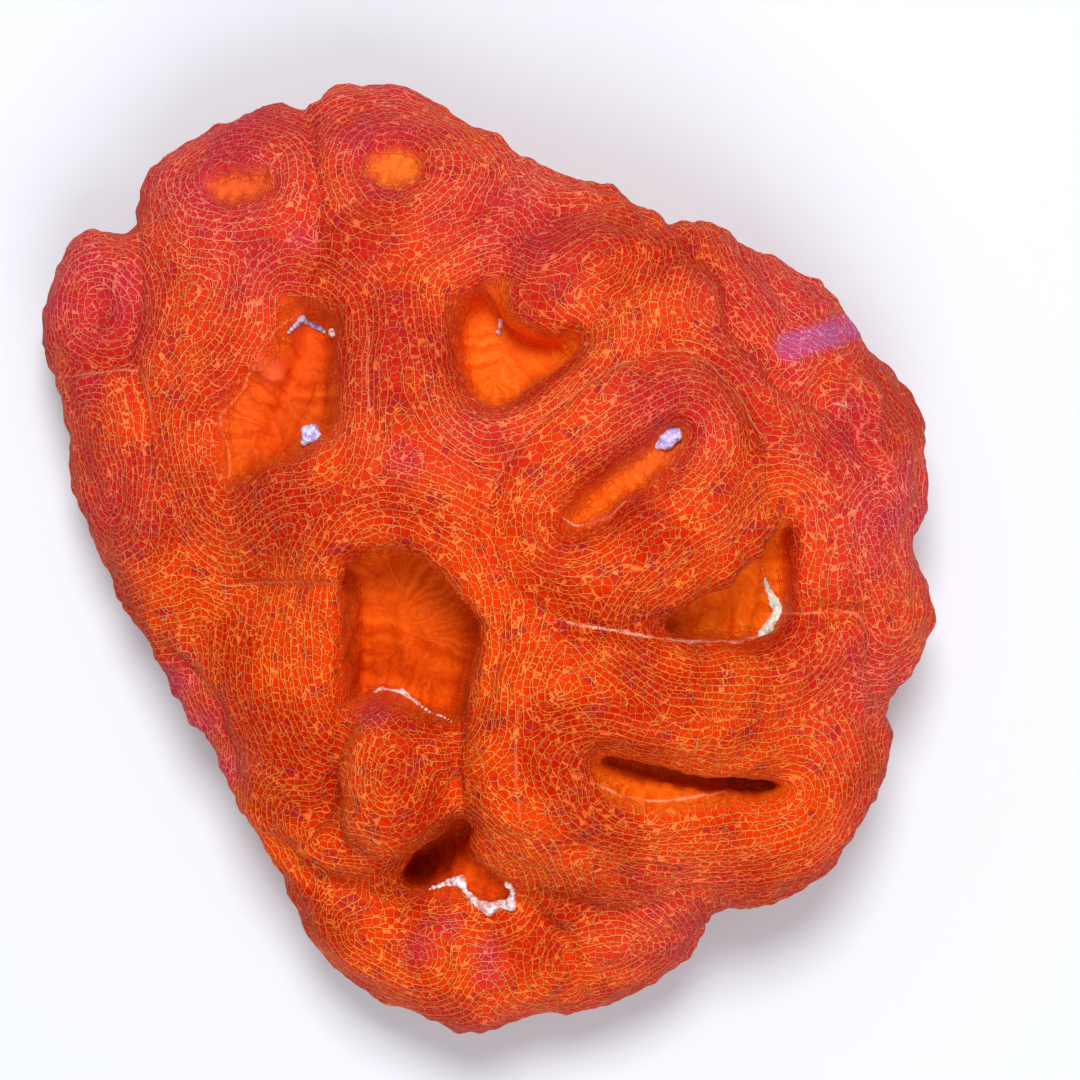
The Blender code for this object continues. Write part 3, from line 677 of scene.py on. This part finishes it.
# The net's walls, the grain and the pores as fine relief, in millimetres
relief = add_math("MULTIPLY", add_math("MULTIPLY", net, smooth_disc), 0.13)
relief = add_math("MULTIPLY_ADD", grain, 0.06, relief)
relief = add_math("MULTIPLY_ADD", pores, add_math("MULTIPLY", stone_share, 0.3), relief)
bump = add_node(
    tree, "ShaderNodeBump", {"Height": relief, "Distance": 0.001, "Strength": 1.0}
)
tree.links.new(colour, shader.inputs["Base Color"])
tree.links.new(bump.outputs["Normal"], shader.inputs["Normal"])
roughness = add_math("MULTIPLY_ADD", stone_share, 0.45, 0.45)
tree.links.new(roughness, shader.inputs["Roughness"])
shader.inputs["IOR"].default_value = 1.36
shader.inputs["Specular IOR Level"].default_value = 0.04
flesh_mesh.materials.clear()
flesh_mesh.materials.append(skin)

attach(flesh, "root")
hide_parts("coral_colony")

# The white tissue and grains in the discs, and a painted reflection
# A few scraps lie in the mouths: strips of shed white tissue, a lilac-grey shred and two
# lilac grains of coralline crust, and at the right disc's edge a white-green strip is a painted
# reflection on the wet skin. Each is a run of small lumps grown into one and pressed onto the
# flesh, each with its place and radius in mm.
scraps_in_mm = {
    "grain_upper": ("crust", [(12.0, 7.9, 0.62), (12.6, 8.3, 0.5), (11.5, 7.7, 0.42),
                              (12.1, 8.5, 0.38)]),
    "grain_left": ("crust", [(-11.6, 8.3, 0.52), (-11.3, 8.7, 0.42), (-11.9, 7.9, 0.30),
                             (-11.1, 8.2, 0.40), (-11.8, 8.7, 0.34)]),
    "scrap_left": ("shred", [(-13.1, 15.3, 0.16), (-12.6, 15.9, 0.22), (-12.3, 16.3, 0.26),
                             (-11.8, 16.0, 0.18), (-11.2, 15.7, 0.2), (-10.8, 15.4, 0.14)]),
    "scrap_upper": ("tissue", [(-10.2, 15.3, 0.28), (-10.0, 15.0, 0.18)]),
    "rim_pit": ("tissue", [(-7.5, -8.9, 0.12), (-7.0, -8.7, 0.20), (-6.3, -8.8, 0.12),
                           (-5.7, -8.9, 0.24), (-5.1, -9.3, 0.12), (-4.5, -9.7, 0.16),
                           (-3.7, -10.2, 0.12), (-2.9, -10.4, 0.14), (-2.2, -10.7, 0.10)]),
    "scrap_middle": ("tissue", [(1.0, 16.2, 0.2), (1.0, 15.8, 0.16), (0.9, 15.4, 0.24)]),
    "strip_bottom": ("tissue", [(-3.8, -22.3, 0.14), (-2.8, -21.9, 0.24), (-1.7, -21.6, 0.40),
                                (-1.4, -22.3, 0.22), (-0.5, -23.2, 0.30), (0.3, -23.5, 0.46),
                                (1.0, -23.1, 0.26), (1.7, -23.2, 0.42), (1.9, -22.3, 0.20),
                                (1.6, -21.7, 0.26)]),
    # A painted reflection: the white-green glint on the right disc's wet edge
    "edge_right": ("painted_reflection", [(18.6, -0.2, 0.08), (18.9, -1.2, 0.12), (19.1, -2.0, 0.22),
                            (19.5, -2.7, 0.36), (19.8, -3.4, 0.46), (19.5, -4.1, 0.36),
                            (19.0, -4.7, 0.44), (18.6, -5.0, 0.36)]),
}  # fmt: skip

scrap_looks = {
    "crust": ("coralline_crust", "#9C90D8", "#D8D4F4", 0.7),
    "shred": ("slimy_shed_skin", "#7C6CA0", "#C4BCDC", 0.4),
    "tissue": ("shed_tissue", "#CC8C84", "#F0E8EC", 0.5),
    # The painted reflection's glossy white-green
    "painted_reflection": ("painted_wet_reflection", "#B8E8D0", "#F8FFF8", 0.25),
}
finishes = {}
for kind, (title, dark, pale, roughness) in scrap_looks.items():
    finish = bpy.data.materials.new(title)
    finish.use_nodes = True
    tree = finish.node_tree
    shader = tree.nodes["Principled BSDF"]
    place = add_node(tree, "ShaderNodeTexCoord").outputs["Object"]
    speckle = add_node(
        tree, "ShaderNodeTexNoise", {"Vector": place, "Scale": 2600.0, "Detail": 3.0}
    ).outputs["Fac"]
    shade = add_rise(speckle, 0.35, 0.62)
    tree.links.new(
        add_mix(shade, to_linear(dark), to_linear(pale)), shader.inputs["Base Color"]
    )
    bump = add_node(
        tree, "ShaderNodeBump", {"Height": speckle, "Distance": 0.0003, "Strength": 1.0}
    )
    tree.links.new(bump.outputs["Normal"], shader.inputs["Normal"])
    shader.inputs["Roughness"].default_value = roughness
    finishes[kind] = finish

ground_tree = BVHTree.FromObject(flesh, bpy.context.evaluated_depsgraph_get())
straight_down = Vector((0, 0, -1))
above_all = 40
crust_sunk = 0.25
for name, (kind, lumps) in scraps_in_mm.items():
    bm = bmesh.new()
    line = [Vector(lump) for lump in lumps]
    if kind != "crust":
        line = [a.lerp(b, t / 3) for a, b in zip(line, line[1:]) for t in range(3)]
        line.append(Vector(lumps[-1]))
    starts = [Vector((x, y, above_all)) / 1000 for x, y, _ in line]
    levels = [ground_tree.ray_cast(start, straight_down)[0].z * 1000 for start in starts]
    if kind == "crust":
        levels = [max(levels) - crust_sunk] * len(levels)
    for (x, y, radius), level in zip(line, levels):
        new = bmesh.ops.create_icosphere(bm, subdivisions=2, radius=radius / 1000)["verts"]
        middle = Vector((x, y, level + 0.3 * radius)) / 1000
        bmesh.ops.translate(bm, verts=new, vec=middle)
    mesh = bpy.data.meshes.new(name)
    bm.to_mesh(mesh)
    bm.free()
    scrap = bpy.data.objects.new(name, mesh)
    bpy.context.scene.collection.objects.link(scrap)
    growing = scrap.modifiers.new("growing", "REMESH")
    growing.mode = "VOXEL"
    growing.voxel_size = 0.00008
    graph = bpy.context.evaluated_depsgraph_get()
    grown = bpy.data.meshes.new_from_object(scrap.evaluated_get(graph))
    grown.name = name
    scrap.modifiers.clear()
    scrap.data = grown
    for v in grown.vertices:
        v.co += v.normal * 0.00010 * noise.noise(v.co * 2200)
    grown.shade_smooth()
    grown.materials.clear()
    grown.materials.append(finishes[kind])
    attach(scrap, "root")
